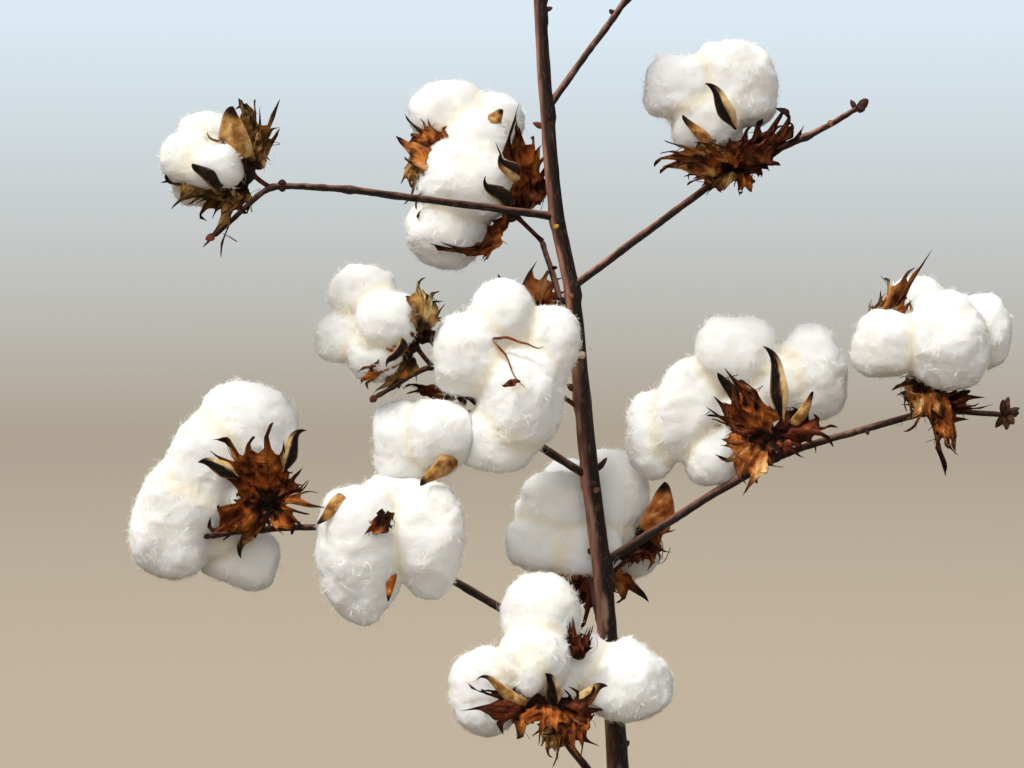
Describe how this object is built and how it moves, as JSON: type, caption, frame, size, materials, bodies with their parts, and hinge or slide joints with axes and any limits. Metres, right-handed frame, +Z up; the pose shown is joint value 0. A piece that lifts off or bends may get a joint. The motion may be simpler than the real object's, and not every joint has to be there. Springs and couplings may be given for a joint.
{
  "type": "cotton plant",
  "caption": "Mature cotton plant without leaves: a leaning woody stem with thin limbs that carry burst bolls of white cotton in dry brown husks.",
  "frame": {"origin": "middle of the flat cut under the main stem, at ground level", "axes": "+Z up, +X to the right and +Y away from the viewer of the reference picture"},
  "size_m": [0.5031, 0.3303, 0.96],
  "materials": {
    "bark": "matt dry bark, reddish brown",
    "husk": "matt dry husk, tan to dark brown",
    "cotton": "soft matt white fibre"
  },
  "bodies": {
    "root": {"stem": "bark", "bough_base_front": "bark", "bough_base_left": "bark", "bough_base_right": "bark", "bough_high_back": "bark", "bough_high_left": "bark", "bough_high_right": "bark", "bough_low_back": "bark", "bough_low_front": "bark", "bough_low_left": "bark", "bough_low_right": "bark", "bough_mid_back": "bark", "bough_mid_left": "bark", "bough_mid_right": "bark", "bough_top_front": "bark", "bough_top_left": "bark", "husk_base_front": "husk", "husk_base_left": "husk", "husk_base_right": "husk", "husk_high_back": "husk", "husk_high_left": "husk", "husk_high_right": "husk", "husk_low_back_inner": "husk", "husk_low_back_outer": "husk", "husk_low_front": "husk", "husk_low_left_inner": "husk", "husk_low_left_outer": "husk", "husk_low_right": "husk", "husk_low_right_outer": "husk", "husk_mid_back": "husk", "husk_mid_back_inner": "husk", "husk_mid_left": "husk", "husk_mid_left_inner": "husk", "husk_mid_right": "husk", "husk_stem_lower": "husk", "husk_stem_upper": "husk", "husk_top_front": "husk", "husk_top_left": "husk", "cotton_base_front": "cotton", "cotton_base_left": "cotton", "cotton_base_right": "cotton", "cotton_high_back": "cotton", "cotton_high_left": "cotton", "cotton_high_right": "cotton", "cotton_low_back_inner": "cotton", "cotton_low_back_outer": "cotton", "cotton_low_front": "cotton", "cotton_low_left_inner": "cotton", "cotton_low_left_outer": "cotton", "cotton_low_right": "cotton", "cotton_low_right_outer": "cotton", "cotton_mid_back": "cotton", "cotton_mid_back_inner": "cotton", "cotton_mid_left": "cotton", "cotton_mid_left_inner": "cotton", "cotton_mid_right": "cotton", "cotton_stem_lower": "cotton", "cotton_stem_upper": "cotton", "cotton_top_front": "cotton", "cotton_top_left": "cotton"}
  },
  "joints": []
}
